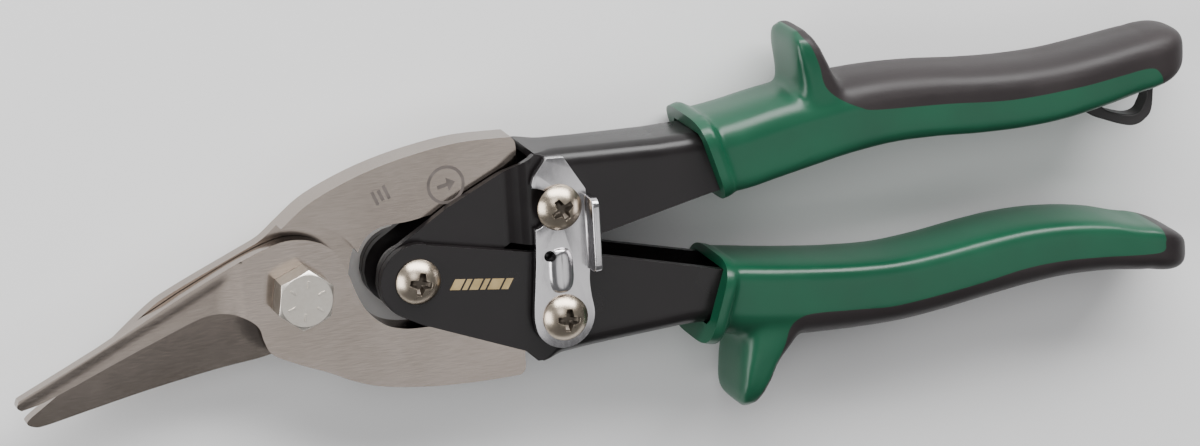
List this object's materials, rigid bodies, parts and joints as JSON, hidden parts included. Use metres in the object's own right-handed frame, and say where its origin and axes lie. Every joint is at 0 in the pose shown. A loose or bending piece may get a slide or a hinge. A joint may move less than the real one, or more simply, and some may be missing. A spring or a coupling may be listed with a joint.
{
  "type": "aviation snips",
  "caption": "Compound-action sheet metal snips with lapped jaws, channel handles, link pivots, return spring, swinging latch and moulded grips.",
  "frame": {"origin": "main pivot axis, on the plane the tool rests on (underside of the pivot lock nut and of the grip collars)", "axes": "+X from the main pivot towards the handle ends, +Y towards the upper handle, +Z out of the resting plane along the pivot axis, towards the bolt head"},
  "size_m": [0.2606, 0.0801, 0.0264],
  "materials": {
    "steel": "ground and brushed, warm tone",
    "bolt": "satin nickel plating",
    "zinc": "zinc plating, satin",
    "handle": "black coating, semi-gloss",
    "spring": "oiled spring wire",
    "grip": "green moulded plastic, satin gloss",
    "pad": "dark soft overmould, fine grain",
    "loop": "dark moulded plastic"
  },
  "bodies": {
    "rear_jaw_body": {"rear_jaw": "steel", "pivot_bolt": "bolt", "pivot_washer": "zinc", "pivot_lock_nut": "bolt"},
    "front_jaw_body": {"front_jaw": "steel"},
    "upper_handle_body": {"upper_handle": "handle", "upper_link_screw": "bolt", "upper_link_nut": "bolt", "upper_link_front_spacer": "zinc", "upper_link_rear_spacer": "zinc", "upper_grip": "grip", "upper_grip_pad": "pad", "hanging_loop": "loop"},
    "lower_handle_body": {"lower_handle": "handle", "handle_pivot_screw": "bolt", "handle_pivot_nut": "bolt", "spring_sleeve": "zinc", "torsion_spring": "spring", "lower_link_screw": "bolt", "lower_link_nut": "bolt", "lower_link_front_spacer": "zinc", "lower_link_rear_spacer": "zinc", "latch_washer": "bolt", "lower_grip": "grip", "lower_grip_pad": "pad"},
    "latch_body": {"latch": "zinc"}
  },
  "joints": [
    {"name": "blade_pivot", "type": "hinge", "parent": "rear_jaw_body", "child": "front_jaw_body", "pos_m": [0, 0, 0.012], "axis": [0, 0, -1], "range_deg": [0, 20]},
    {"name": "upper_link", "type": "hinge", "parent": "rear_jaw_body", "child": "upper_handle_body", "pos_m": [0.0544, 0.0119, 0.012], "axis": [0, 0, 1], "range_deg": [0, 8.9]},
    {"name": "lower_link", "type": "hinge", "parent": "front_jaw_body", "child": "lower_handle_body", "pos_m": [0.0544, -0.0119, 0.012], "axis": [0, 0, -1], "range_deg": [0, 8.9]},
    {"name": "latch_swing", "type": "hinge", "parent": "lower_handle_body", "child": "latch_body", "pos_m": [0.0544, -0.0119, 0.02], "axis": [0, 0, -1], "range_deg": [0, 66.5]}
  ],
  "couplings": [
    {"joint": "upper_link", "follows": "blade_pivot", "ratio": 0.44},
    {"joint": "lower_link", "follows": "blade_pivot", "ratio": 0.44},
    {"joint": "latch_swing", "follows": "blade_pivot", "ratio": 3.3}
  ]
}
